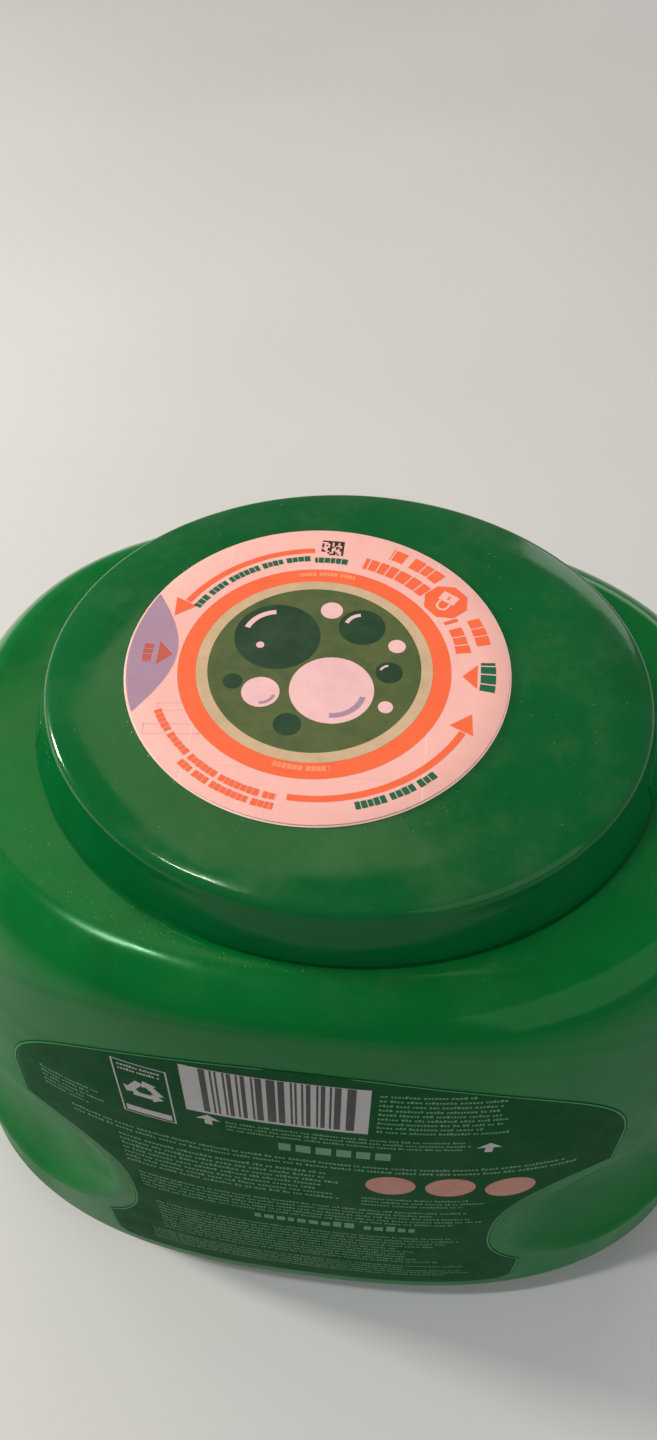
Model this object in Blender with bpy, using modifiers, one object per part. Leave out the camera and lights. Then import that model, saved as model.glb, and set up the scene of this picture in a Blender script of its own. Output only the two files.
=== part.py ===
"""Laundry pod tub: a blow-moulded oval tub with a lift-off oval lid.

Origin on the floor under the middle of the tub, +Z up, +X along the long
side. The back label faces -Y. Sizes are in millimetres and become metres
when the meshes are made.
"""

import bpy
import bmesh
import math
from mathutils import Vector

MM = 0.001

# Neck
NECK_DIAMETER = 92.0
NECK_HEIGHT = 14.5
NECK_FILLET = 2.4
NECK_LIP = 0.9

# Tub body; the ledges are measured from the neck to the tub's upper edge
END_LEDGE = 40.5
FACE_LEDGE = 19.2
TUB_TOP_LENGTH = NECK_DIAMETER + 2.0 * END_LEDGE
TUB_TOP_DEPTH = NECK_DIAMETER + 2.0 * FACE_LEDGE
TUB_BASE_LENGTH = 218.0
TUB_BASE_DEPTH = 149.6
TUB_SIDE_BULGE = 3.0
TUB_FACE_BULGE = 1.2
BASE_ROUND = 17.0
BASE_RING_WIDTH = 9.0
BASE_PUSH_UP = 2.6
TUB_WALL = 1.5
PLAN_POWER_TOP = 2.47
PLAN_POWER_BASE = 2.57

# Shoulder: a low round at the faces that grows into a long slope at the ends
SHOULDER_HEIGHT = 170.0
SHOULDER_FACE_DROP = 7.2
SHOULDER_END_DROP = 33.3
SHOULDER_INSET = 11.4
SHOULDER_SWEEP = 2.2

# Grip hollows, one near each corner
GRIP_OUT = 77.0
GRIP_HEIGHT = 67.0
GRIP_LENGTH = 62.0
GRIP_RISE = 62.0
GRIP_DEPTH = 6.5
GRIP_TURN = 34.0

# Lid; the margins are measured from the neck to the foot of the lid's skirt
LID_END_MARGIN = 17.0
LID_FACE_MARGIN = 8.5
LID_LENGTH = NECK_DIAMETER + 2.0 * LID_END_MARGIN
LID_DEPTH = NECK_DIAMETER + 2.0 * LID_FACE_MARGIN
LID_WALL = 1.8
LID_END_DRAFT = 4.2
LID_FACE_DRAFT = 2.0
LID_EDGE_ROUND = 2.5
LID_EDGE_LEAN = 15.0
LID_CROWN = 1.6
LID_LEVEL_SHARE = 0.77
LID_FOOT_GAP = 1.2
LID_SEAT_GAP = 0.35
RING_CLEARANCE = 1.8
RING_WALL = 1.6
RING_DROP = 9.0
RING_CHAMFER = 0.8

# Press tabs in the lid's skirt
TAB_WIDTH = 30.0
TAB_HEIGHT = 7.6
TAB_SLIT = 0.6
TAB_WALL = 1.7
TAB_BEND_DROP = 0.6
CUT_MARGIN = 4.0

# Labels
LID_LABEL_DIAMETER = 74.0
LID_LABEL_SHIFT = -5.8
BACKING_THICK = 0.3
LEAFLET_THICK = 0.4
LEAFLET_INSET = 0.3
LABEL_GAP = 0.3
FACE_LABEL_GAP = 0.45
LABEL_THICK = 0.3
LABEL_HALF_WIDTH = 65.5
LABEL_TOP = 151.0
LABEL_BEND = 113.0
LABEL_FOOT = 21.0
LABEL_FOOT_HALF_WIDTH = 54.0
LABEL_GRIP_MARGIN = 2.5
LABEL_TIP_TRIM = 0.4
SLOPE_STEP = 0.5

# Mesh density
AROUND = 64
WALL_ROWS = 9


def make_material(name, color, roughness, specular=0.5):
    mat = bpy.data.materials.new(name)
    mat.use_nodes = True
    bsdf = mat.node_tree.nodes["Principled BSDF"]
    bsdf.inputs["Base Color"].default_value = (*color, 1.0)
    bsdf.inputs["Roughness"].default_value = roughness
    bsdf.inputs["Metallic"].default_value = 0.0
    bsdf.inputs["Specular IOR Level"].default_value = specular
    return mat


def new_collection(name):
    coll = bpy.data.collections.new(name)
    bpy.context.scene.collection.children.link(coll)
    return coll


def add_object(name, mesh, coll, mat, smooth=40.0):
    obj = bpy.data.objects.new(name, mesh)
    coll.objects.link(obj)
    if mat is not None:
        mesh.materials.append(mat)
    mesh.shade_smooth()
    mesh.set_sharp_from_angle(angle=math.radians(smooth))
    return obj


def plan_radius(angle, half_x, half_y, power):
    """Distance from the centre to a superellipse at a polar angle."""
    c = abs(math.cos(angle)) / half_x
    s = abs(math.sin(angle)) / half_y
    return (c ** power + s ** power) ** (-1.0 / power)


def plan_ring(half_x, half_y, power, z, count=AROUND):
    """Points of one level section, anticlockwise seen from above."""
    points = []
    for i in range(count):
        angle = 2.0 * math.pi * i / count
        r = plan_radius(angle, half_x, half_y, power)
        points.append(Vector((r * math.cos(angle), r * math.sin(angle), z)))
    return points


def loft(name, rings, cap_first=False, cap_last=False):
    """Open skin through rings of points, in metres, with optional end fans."""
    bm = bmesh.new()
    loops = []
    for ring in rings:
        loops.append([bm.verts.new(p * MM) for p in ring])
    count = len(rings[0])
    for low, high in zip(loops, loops[1:]):
        for i in range(count):
            j = (i + 1) % count
            bm.faces.new((low[i], low[j], high[j], high[i]))
    if cap_first:
        add_fan(bm, loops[0], rings[0], False)
    if cap_last:
        add_fan(bm, loops[-1], rings[-1], True)
    mesh = bpy.data.meshes.new(name)
    bm.to_mesh(mesh)
    bm.free()
    return mesh


def add_fan(bm, loop, ring, upward):
    middle = Vector((0.0, 0.0, 0.0))
    for p in ring:
        middle += p
    hub = bm.verts.new(middle / len(ring) * MM)
    for i in range(len(loop)):
        j = (i + 1) % len(loop)
        if upward:
            bm.faces.new((loop[i], loop[j], hub))
        else:
            bm.faces.new((loop[j], loop[i], hub))


def add_solidify(obj, thickness, offset=-1.0):
    mod = obj.modifiers.new("wall", "SOLIDIFY")
    mod.thickness = thickness * MM
    mod.offset = offset
    mod.use_even_offset = True
    mod.use_quality_normals = True
    mod.use_rim = True
    return mod


def add_boolean(obj, other, operation):
    mod = obj.modifiers.new(operation.lower(), "BOOLEAN")
    mod.operation = operation
    mod.solver = "EXACT"
    mod.object = other
    return mod


def make_cutter(obj):
    obj.hide_render = True
    obj.display_type = "WIRE"


# Tub wall

WALL_TOP = SHOULDER_HEIGHT - SHOULDER_FACE_DROP
WALL_FOOT = BASE_ROUND


def wall_section(z):
    """Half length, half depth and power of the tub's plan at a height."""
    half_x = TUB_TOP_LENGTH / 2.0
    half_y = TUB_TOP_DEPTH / 2.0
    grow_x = TUB_BASE_LENGTH / 2.0 - half_x
    grow_y = TUB_BASE_DEPTH / 2.0 - half_y
    k = (WALL_TOP - max(z, WALL_FOOT)) / (WALL_TOP - WALL_FOOT)
    swell = 4.0 * k * (1.0 - k)
    half_x += grow_x * k + TUB_SIDE_BULGE * swell
    half_y += grow_y * k + TUB_FACE_BULGE * swell
    power = PLAN_POWER_TOP + (PLAN_POWER_BASE - PLAN_POWER_TOP) * k
    if z < WALL_FOOT:
        fall = (WALL_FOOT - z) / BASE_ROUND
        inset = BASE_ROUND * (1.0 - math.sqrt(1.0 - fall * fall))
        half_x -= inset
        half_y -= inset
    return half_x, half_y, power


def wall_point(angle, z):
    half_x, half_y, power = wall_section(z)
    r = plan_radius(angle, half_x, half_y, power)
    return Vector((r * math.cos(angle), r * math.sin(angle), z))


def end_share(angle):
    """0 in the middle of a face, 1 at the tub's ends."""
    middle = abs(wall_point(angle, WALL_TOP).x) / (TUB_TOP_LENGTH / 2.0)
    return middle ** SHOULDER_SWEEP


def shoulder_foot(angle):
    """Height at which the shoulder's round leaves the wall."""
    reach = SHOULDER_END_DROP - SHOULDER_FACE_DROP
    return WALL_TOP - reach * end_share(angle)


def shoulder_point(angle, turn):
    """Point of the shoulder's round, from 0 at the wall to 90 at its top."""
    foot = shoulder_foot(angle)
    rise = (SHOULDER_HEIGHT - foot) * math.sin(math.radians(turn))
    inset = SHOULDER_INSET * (1.0 - math.cos(math.radians(turn)))
    point = wall_point(angle, foot + rise)
    point.x -= inset * math.cos(angle)
    point.y -= inset * math.sin(angle)
    return point


def wall_depth_at(x, z):
    """Half depth of the wall at a distance along X."""
    half_x, half_y, power = wall_section(z)
    share = min(abs(x) / half_x, 0.999)
    return half_y * (1.0 - share ** power) ** (1.0 / power)


def grip_frames():
    """Centre and outward normal of each of the four grip hollows."""
    frames = []
    turn = math.radians(GRIP_TURN)
    for sx in (-1.0, 1.0):
        for sy in (-1.0, 1.0):
            y = sy * wall_depth_at(GRIP_OUT, GRIP_HEIGHT)
            centre = Vector((sx * GRIP_OUT, y, GRIP_HEIGHT))
            normal = Vector((sx * math.sin(turn), sy * math.cos(turn), 0.0))
            frames.append((centre, normal))
    return frames


def press_grips(point, frames):
    """Move a wall point into a grip hollow where it lies in one."""
    for centre, normal in frames:
        offset = point - centre
        along = offset.x * normal.y - offset.y * normal.x
        if offset.dot(normal) < -GRIP_LENGTH / 2.0:
            continue
        d = (2.0 * along / GRIP_LENGTH) ** 2
        d += (2.0 * offset.z / GRIP_RISE) ** 2
        if d < 1.0:
            return point - normal * GRIP_DEPTH * (1.0 - d) ** 0.8
    return point


def base_rings():
    """Rings of the underside, from the raised middle out to the foot."""
    half_x, half_y, power = wall_section(0.0)
    ring_x = half_x - BASE_RING_WIDTH
    ring_y = half_y - BASE_RING_WIDTH
    step = 2.0 * BASE_PUSH_UP
    return [
        plan_ring(ring_x * 0.45, ring_y * 0.45, 2.0, BASE_PUSH_UP),
        plan_ring(ring_x - step, ring_y - step, power, BASE_PUSH_UP),
        plan_ring(ring_x, ring_y, power, 0.0),
        plan_ring(half_x, half_y, power, 0.0),
    ]


def wall_rings():
    rings = []
    frames = grip_frames()
    angles = [2.0 * math.pi * i / AROUND for i in range(AROUND)]
    for share in (0.10, 0.30, 0.62):
        rings.append([wall_point(angle, BASE_ROUND * share) for angle in angles])
    for row in range(WALL_ROWS + 1):
        ring = []
        for angle in angles:
            rise = shoulder_foot(angle) - WALL_FOOT
            point = wall_point(angle, WALL_FOOT + rise * row / WALL_ROWS)
            ring.append(press_grips(point, frames))
        rings.append(ring)
    for turn in (18.0, 36.0, 54.0, 72.0, 90.0):
        rings.append([shoulder_point(angle, turn) for angle in angles])
    return rings


def neck_rings():
    radius = NECK_DIAMETER / 2.0
    top = SHOULDER_HEIGHT + NECK_HEIGHT
    foot = radius + NECK_FILLET
    lip = radius - NECK_LIP
    return [
        plan_ring(foot, foot, 2.0, SHOULDER_HEIGHT),
        plan_ring(radius, radius, 2.0, SHOULDER_HEIGHT + NECK_FILLET),
        plan_ring(radius, radius, 2.0, top - NECK_LIP),
        plan_ring(lip, lip, 2.0, top),
    ]


def build_tub(coll, mat):
    rings = base_rings() + wall_rings() + neck_rings()
    mesh = loft("tub", rings, cap_first=True)
    tub = add_object("tub", mesh, coll, mat)
    add_solidify(tub, TUB_WALL)
    return tub


# Lid

LID_FOOT = SHOULDER_HEIGHT + LID_FOOT_GAP
EDGE_INSET = LID_EDGE_ROUND * (1.0 - math.sin(math.radians(LID_EDGE_LEAN)))
EDGE_HALF_LENGTH = LID_LENGTH / 2.0 - LID_END_DRAFT - EDGE_INSET
EDGE_HALF_DEPTH = LID_DEPTH / 2.0 - LID_FACE_DRAFT - EDGE_INSET


def crown_drop(share):
    """Fall of the lid's top, from its level middle to 1 at the edge round."""
    past = max(share - LID_LEVEL_SHARE, 0.0) / (1.0 - LID_LEVEL_SHARE)
    return LID_CROWN * past * past


NECK_SHARE = (NECK_DIAMETER / 2.0 - NECK_LIP) / EDGE_HALF_DEPTH
LID_CEILING = SHOULDER_HEIGHT + NECK_HEIGHT + LID_SEAT_GAP + crown_drop(NECK_SHARE)
LID_TOP = LID_CEILING + LID_WALL
LID_EDGE_TOP = LID_TOP - LID_CROWN
LID_SIDE_TOP = LID_EDGE_TOP - LID_EDGE_ROUND * math.cos(math.radians(LID_EDGE_LEAN))


def lid_section(z):
    """Half length and half depth of the lid's side at a height."""
    share = (min(z, LID_SIDE_TOP) - LID_FOOT) / (LID_SIDE_TOP - LID_FOOT)
    half_x = LID_LENGTH / 2.0 - LID_END_DRAFT * share
    half_y = LID_DEPTH / 2.0 - LID_FACE_DRAFT * share
    if z > LID_SIDE_TOP:
        rise = min((z - LID_SIDE_TOP) / LID_EDGE_ROUND, 1.0)
        inset = LID_EDGE_ROUND * (1.0 - math.sqrt(1.0 - rise * rise))
        half_x -= inset
        half_y -= inset
    return half_x, half_y


def lid_side_ring(z):
    half_x, half_y = lid_section(z)
    return plan_ring(half_x, half_y, 2.0, z)


def lid_top_ring(share):
    """Ring of the lid's top at a share of the way out to its edge round."""
    half_x = EDGE_HALF_LENGTH * share
    half_y = EDGE_HALF_DEPTH * share
    return plan_ring(half_x, half_y, 2.0, LID_TOP - crown_drop(share))


def lid_side_x(y, z):
    """Distance along X of the lid's side at a given Y and height."""
    half_x, half_y = lid_section(z)
    return half_x * math.sqrt(1.0 - (y / half_y) ** 2)


def turned_ring(name, profile, coll):
    """Ring turned about Z from a closed profile of (radius, height) pairs."""
    bm = bmesh.new()
    verts = [bm.verts.new((r * MM, 0.0, z * MM)) for r, z in profile]
    for i in range(len(verts)):
        bm.edges.new((verts[i], verts[(i + 1) % len(verts)]))
    mesh = bpy.data.meshes.new(name)
    bm.to_mesh(mesh)
    bm.free()
    obj = bpy.data.objects.new(name, mesh)
    coll.objects.link(obj)
    screw = obj.modifiers.new("turn", "SCREW")
    screw.steps = AROUND
    screw.render_steps = AROUND
    screw.use_merge_vertices = True
    screw.merge_threshold = 0.00001
    return obj


def tab_cutter(side, coll):
    """Box that opens the skirt for one press tab, with its slits."""
    top = LID_FOOT + TAB_HEIGHT + TAB_SLIT
    low = LID_FOOT - CUT_MARGIN
    outer = LID_LENGTH / 2.0 + CUT_MARGIN
    inner = lid_side_x(TAB_WIDTH / 2.0 + TAB_SLIT, top) - LID_WALL - CUT_MARGIN / 2.0
    bpy.ops.mesh.primitive_cube_add(size=1.0)
    box = bpy.context.active_object
    box.name = "tab_window_cut"
    for owner in list(box.users_collection):
        owner.objects.unlink(box)
    coll.objects.link(box)
    middle = (outer + inner) / 2.0
    box.scale = (
        (outer - inner) * MM,
        (TAB_WIDTH + 2.0 * TAB_SLIT) * MM,
        (top - low) * MM,
    )
    box.location = (side * middle * MM, 0.0, (top + low) / 2.0 * MM)
    make_cutter(box)
    return box


def build_lid(coll, cutters, mat):
    rings = [lid_side_ring(LID_FOOT), lid_side_ring(LID_SIDE_TOP)]
    for turn in (60.0, 35.0, LID_EDGE_LEAN):
        rise = LID_EDGE_ROUND * math.cos(math.radians(turn))
        rings.append(lid_side_ring(LID_SIDE_TOP + rise))
    for past in (0.66, 0.33, 0.0):
        rings.append(lid_top_ring(LID_LEVEL_SHARE + (1.0 - LID_LEVEL_SHARE) * past))
    mesh = loft("lid", rings, cap_last=True)
    lid = add_object("lid", mesh, coll, mat)
    add_solidify(lid, LID_WALL)
    inner = NECK_DIAMETER / 2.0 + RING_CLEARANCE
    outer = inner + RING_WALL
    profile = [
        (outer, LID_EDGE_TOP),
        (outer, LID_CEILING - RING_DROP),
        (inner + RING_CHAMFER, LID_CEILING - RING_DROP),
        (inner, LID_CEILING - RING_DROP + RING_CHAMFER),
        (inner, LID_EDGE_TOP),
    ]
    ring = turned_ring("lid_inner_ring", profile, cutters)
    make_cutter(ring)
    add_boolean(lid, ring, "UNION")
    for side in (-1.0, 1.0):
        add_boolean(lid, tab_cutter(side, cutters), "DIFFERENCE")
    return lid


def tab_axis():
    """Distance along X and height of the press tab's bending line."""
    top = LID_FOOT + TAB_HEIGHT
    across = lid_side_x(TAB_WIDTH / 2.0, top)
    return across, top - TAB_BEND_DROP


def build_press_tab(name, side, coll, mat):
    """Curved tongue of the skirt, turned about its top edge."""
    axis_x, axis_z = tab_axis()
    columns = 9
    rows = 3
    bm = bmesh.new()
    grid = []
    for row in range(rows + 1):
        z = LID_FOOT + TAB_HEIGHT * row / rows
        line = []
        for col in range(columns + 1):
            y = TAB_WIDTH * (col / columns - 0.5)
            x = lid_side_x(y, z)
            point = Vector((side * (x - axis_x), side * y, z - axis_z))
            line.append(bm.verts.new(point * MM))
        grid.append(line)
    for low, high in zip(grid, grid[1:]):
        for i in range(columns):
            bm.faces.new((low[i], low[i + 1], high[i + 1], high[i]))
    mesh = bpy.data.meshes.new(name)
    bm.to_mesh(mesh)
    bm.free()
    tab = add_object(name, mesh, coll, mat)
    tab.location = (side * axis_x * MM, 0.0, axis_z * MM)
    add_solidify(tab, TAB_WALL)
    return tab


# Labels

def disc(name, radius, thick, z, coll, mat):
    bpy.ops.mesh.primitive_cylinder_add(
        vertices=AROUND,
        radius=radius * MM,
        depth=thick * MM,
        location=(LID_LABEL_SHIFT * MM, 0.0, (z + thick / 2.0) * MM),
    )
    obj = bpy.context.active_object
    obj.name = name
    obj.data.name = name
    for owner in list(obj.users_collection):
        owner.objects.unlink(obj)
    coll.objects.link(obj)
    obj.data.materials.append(mat)
    return obj


def build_lid_labels(coll, backing_mat, leaflet_mat):
    radius = LID_LABEL_DIAMETER / 2.0
    low = LID_TOP + LABEL_GAP
    disc("lid_label_backing", radius, BACKING_THICK, low, coll, backing_mat)
    high = low + BACKING_THICK + LABEL_GAP
    inner = radius - LEAFLET_INSET
    disc("lid_label_leaflet", inner, LEAFLET_THICK, high, coll, leaflet_mat)


def label_half_width(z):
    """Half width of a face label: domed top, sides cut round the grips."""
    rise = max(z - LABEL_BEND, 0.0) / (LABEL_TOP - LABEL_BEND)
    dome = LABEL_HALF_WIDTH * math.sqrt(max(1.0 - rise ** 2.0, 0.0))
    reach = GRIP_RISE / 2.0 + LABEL_GRIP_MARGIN
    bite = 2.0 * LABEL_HALF_WIDTH
    lean = abs(z - GRIP_HEIGHT) / reach
    if lean < 1.0:
        length = GRIP_LENGTH / 2.0 + LABEL_GRIP_MARGIN
        cut = length * (1.0 - lean ** 2.4) ** (1.0 / 2.4)
        bite = GRIP_OUT - cut
    width = dome
    if dome > 0.0:
        width = (dome ** -10.0 + bite ** -10.0) ** -0.1
    if z < GRIP_HEIGHT:
        width = min(width, LABEL_FOOT_HALF_WIDTH)
    return width


def label_point(side, x, z, offset):
    """Point over the tub's face, lifted off it by an offset."""
    y = wall_depth_at(x, z)
    step = SLOPE_STEP
    rise_x = wall_depth_at(x + step, z) - wall_depth_at(x - step, z)
    rise_z = wall_depth_at(x, z + step) - wall_depth_at(x, z - step)
    normal = Vector((-rise_x, 2.0 * step, -rise_z)).normalized()
    point = Vector((x, y, z)) + normal * offset
    point.y *= side
    return point


def label_heights():
    """Row heights, closer together where the outline turns."""
    heights = []
    straight = 14
    domed = 9
    for row in range(straight):
        share = row / straight
        heights.append(LABEL_FOOT + (LABEL_BEND - LABEL_FOOT) * share)
    for row in range(domed + 1):
        lift = math.sin(row / domed * math.pi / 2.0)
        rise = (LABEL_TOP - LABEL_TIP_TRIM - LABEL_BEND) * lift
        heights.append(LABEL_BEND + rise)
    return heights


def build_face_label(name, side, coll, mat):
    """Thin sheet that follows the tub's face inside the label's outline."""
    columns = 16
    bm = bmesh.new()
    grid = []
    for z in label_heights():
        width = label_half_width(z)
        line = []
        for col in range(columns + 1):
            x = width * (2.0 * col / columns - 1.0)
            point = label_point(side, x, z, FACE_LABEL_GAP + LABEL_THICK)
            line.append(bm.verts.new(point * MM))
        grid.append(line)
    for low, high in zip(grid, grid[1:]):
        for i in range(columns):
            face = (low[i], low[i + 1], high[i + 1], high[i])
            if side > 0.0:
                face = tuple(reversed(face))
            bm.faces.new(face)
    mesh = bpy.data.meshes.new(name)
    bm.to_mesh(mesh)
    bm.free()
    label = add_object(name, mesh, coll, mat)
    add_solidify(label, LABEL_THICK)
    return label


def main():
    for obj in list(bpy.data.objects):
        bpy.data.objects.remove(obj, do_unlink=True)
    parts = new_collection("laundry_pod_tub")
    cutters = new_collection("cutters")
    green = make_material("tub_green", (0.005, 0.30, 0.06), 0.22)
    lid_green = make_material("lid_green", (0.004, 0.24, 0.05), 0.25)
    white = make_material("label_white", (0.86, 0.84, 0.80), 0.45)
    paper = make_material("leaflet_white", (0.90, 0.87, 0.83), 0.40)
    dark = make_material("label_green", (0.004, 0.13, 0.03), 0.40)
    face = make_material("front_label_green", (0.02, 0.33, 0.08), 0.40)
    build_tub(parts, green)
    build_lid(parts, cutters, lid_green)
    build_press_tab("press_tab_left", -1.0, parts, lid_green)
    build_press_tab("press_tab_right", 1.0, parts, lid_green)
    build_lid_labels(parts, white, paper)
    build_face_label("back_label", -1.0, parts, dark)
    build_face_label("front_label", 1.0, parts, face)


main()
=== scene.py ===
"""Dressed scene of the laundry pod tub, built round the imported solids."""

import math
import random

import bpy
import bmesh
from mathutils import Matrix, Vector


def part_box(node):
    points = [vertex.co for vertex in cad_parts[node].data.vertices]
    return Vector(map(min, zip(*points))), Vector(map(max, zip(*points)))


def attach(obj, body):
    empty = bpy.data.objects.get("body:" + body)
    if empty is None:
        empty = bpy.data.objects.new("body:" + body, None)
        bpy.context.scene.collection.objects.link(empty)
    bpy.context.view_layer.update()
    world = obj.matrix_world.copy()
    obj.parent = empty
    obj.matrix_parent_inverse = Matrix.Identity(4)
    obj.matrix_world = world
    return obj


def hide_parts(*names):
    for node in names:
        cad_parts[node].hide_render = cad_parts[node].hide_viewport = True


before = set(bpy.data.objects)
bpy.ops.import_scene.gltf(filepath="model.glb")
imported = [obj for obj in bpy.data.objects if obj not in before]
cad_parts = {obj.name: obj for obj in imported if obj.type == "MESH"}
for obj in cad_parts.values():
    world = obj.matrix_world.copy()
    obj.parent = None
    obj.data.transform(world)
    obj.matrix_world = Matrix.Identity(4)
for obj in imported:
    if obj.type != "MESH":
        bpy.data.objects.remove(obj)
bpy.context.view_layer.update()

MM = 0.001
QUARTER = math.pi / 2.0


def solid_corners(node):
    """Lowest and highest corner of a solid, in millimetres."""
    low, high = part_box(node)
    return low / MM, high / MM


TUB_HIGH = solid_corners("tub")[1]
LID_HIGH = solid_corners("lid")[1]
TAB_LOW, TAB_HIGH = solid_corners("press_tab_right")
BACKING_LOW, BACKING_HIGH = solid_corners("lid_label_backing")

# Tub, in millimetres, as in the solids
NECK_RADIUS = 46.0
NECK_HEIGHT = 14.5
NECK_TOP = TUB_HIGH.z
NECK_FILLET = 2.4
NECK_LIP = 0.9
SHOULDER_HEIGHT = NECK_TOP - NECK_HEIGHT
FACE_DROP, END_DROP = 7.2, 33.3
SHOULDER_INSET = 11.4
SHOULDER_SWEEP = 2.2
END_TAPER, FACE_TAPER = 22.5, 9.6
BASE_HALF_X, BASE_HALF_Y = TUB_HIGH.x, TUB_HIGH.y
TOP_HALF_X, TOP_HALF_Y = BASE_HALF_X - END_TAPER, BASE_HALF_Y - FACE_TAPER
SIDE_BULGE, FACE_BULGE = 3.0, 1.2
BASE_ROUND = 17.0
BASE_PUSH_UP = 2.6
BASE_MIDDLE_INSET, BASE_MIDDLE_POWER = 14.0, 2.2
BASE_MIDDLE_SHARES = (0.12, 0.45, 0.75)
# Inset and height of the rows from the raised base down to the ring foot
RING_FOOT = ((14.4, BASE_PUSH_UP), (13.4, 2.45), (11.2, 1.0), (9.6, 0.12), (8.8, 0.0))
NECK_ROW_RISES = (4.5, 8.0, 11.0)
POWER_TOP, POWER_BASE = 2.47, 2.57
GRIP_OUT, GRIP_HEIGHT = 77.0, 67.0
GRIP_LENGTH, GRIP_RISE, GRIP_DEPTH = 62.0, 62.0, 6.5
GRIP_TURN = math.radians(34.0)
TUB_WALL = 1.5
WALL_TOP = SHOULDER_HEIGHT - FACE_DROP

# Lid and press tabs
LID_LONGER = 8.5
LID_HALF_X, LID_HALF_Y = LID_HIGH.y + LID_LONGER, LID_HIGH.y
LID_WALL = 1.8
LID_TOP = LID_HIGH.z
LID_CROWN = 1.6
LID_LEVEL_SHARE = 0.77
LID_ROUND = 2.5
LID_LEAN = math.radians(15.0)
LID_END_DRAFT, LID_FACE_DRAFT = 4.2, 2.0
LID_SIDE_TOP = LID_TOP - LID_CROWN - LID_ROUND * math.cos(LID_LEAN)
LID_EDGE_INSET = LID_ROUND * (1.0 - math.sin(LID_LEAN))
LID_CEILING = LID_TOP - LID_WALL
RING_IN, RING_OUT, RING_DROP = 47.8, 49.4, 9.0
TAB_WIDTH, TAB_HEIGHT = TAB_HIGH.y - TAB_LOW.y, 7.6
TAB_SLIT, TAB_WALL, TAB_CORNER = 0.6, 1.7, 1.0
TAB_EDGE = 0.25
CUT_MARGIN, CUT_MARGIN_INSIDE = 4.0, 2.0
LID_FOOT = TAB_HIGH.z - TAB_HEIGHT

# Threads: turns, half height of the ridge, its bite into the wall, and the
# share of its length over which each end tapers
THREAD_TURNS, THREAD_HALF = 1.3, 1.1
THREAD_BITE, THREAD_TAPER = 0.25, 0.06

# Lid label
STICKER = Vector(((BACKING_LOW.x + BACKING_HIGH.x) / 2.0, 0.0, 0.0))
STICKER_RADIUS = (BACKING_HIGH.x - BACKING_LOW.x) / 2.0
BACKING_FOOT, BACKING_TOP = LID_TOP + 0.02, LID_TOP + 0.20
LEAFLET_FOOT, LEAFLET_TOP = BACKING_TOP + 0.04, LID_TOP + 0.52
LEAFLET_RADIUS = STICKER_RADIUS - 0.3
BACKING_EDGE, LEAFLET_EDGE = 0.05, 0.12
PRINT_LIFT = 0.012
LOCK_PLACE = (23.6, 18.6)

# Face labels
LABEL_HALF_WIDTH, LABEL_FOOT_HALF = 65.5, 54.0
LABEL_TOP, LABEL_BEND, LABEL_FOOT = 151.0, 113.0, 21.0
LABEL_CORNER = 5.0
LABEL_GRIP_MARGIN, LABEL_GRIP_POWER = 2.5, 2.4
LABEL_BLEND_POWER = 10.0
LABEL_LINE_INSET, LABEL_LINE_WIDTH = 0.45, 0.4
FILM_LOW, FILM_HIGH = 0.02, 0.13
INK_LIFT, STROKE_LIFT = 0.16, 0.19
PRINT_MARGIN = 3.0

# Shading: heights in metres where the tub's gloss sets in, levels of
# mirroring on upright and on upper surfaces, and the leaflet's folds
SHOULDER_GLOSS, NECK_GLOSS = (0.128, 0.138), (0.163, 0.166)
SIDE_SHEEN, TOP_SHEEN = 0.09, 0.24
FOLDS, FOLD_WIDTH = (("X", 0.0158), ("X", -0.0270), ("Y", -0.0262)), 0.0004

# Stage, lamps and camera, in metres
STAGE_REACH, FLOOR_DROP = 3.0, 0.0002
BACKDROP_START, BACKDROP_ROUND = 1.9, 0.6
BACKDROP_FOOT, BACKDROP_STEP = 0.0005, 0.15
LAMP_AIM = Vector((0.0, 0.0, 0.12))
# Name, place, width and height, watts, colour
LAMPS = (
    ("left", (-1.05, 0.14, 0.46), (0.14, 0.20), 11.0, (1.0, 0.94, 0.82)),
    ("above", (-0.66, -0.21, 1.67), (0.05, 0.34), 9.0, (0.96, 0.98, 1.0)),
    ("ceiling", (-0.45, 0.80, 1.90), (1.10, 1.20), 8.0, (1.0, 0.82, 0.64)),
    ("right", (1.20, -0.95, 0.90), (1.50, 1.20), 6.5, (1.0, 1.0, 1.0)),
    ("behind", (0.70, 1.50, 0.70), (0.60, 0.60), 3.0, (1.0, 1.0, 1.0)),
)
WORLD_COLOR, WORLD_STRENGTH = (0.94, 0.97, 1.0, 1.0), 0.32
CAMERA_PLACE = Vector((0.0113933, -0.1341577, 0.3453715))
CAMERA_FORWARD = Vector((-0.0680876, 0.6053810, -0.7930183))
CAMERA_UP = Vector((-0.0912115, 0.7877569, 0.6091958))
CAMERA_SENSOR, CAMERA_LENS = 36.0, 27.075
CAMERA_NEAR, CAMERA_FAR = 0.01, 20.0


def srgb(r, g, b):
    """Linear colour from 0-255 display values."""
    out = []
    for v in (r, g, b):
        v /= 255.0
        out.append(v / 12.92 if v <= 0.04045 else ((v + 0.055) / 1.055) ** 2.4)
    return (*out, 1.0)


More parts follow.
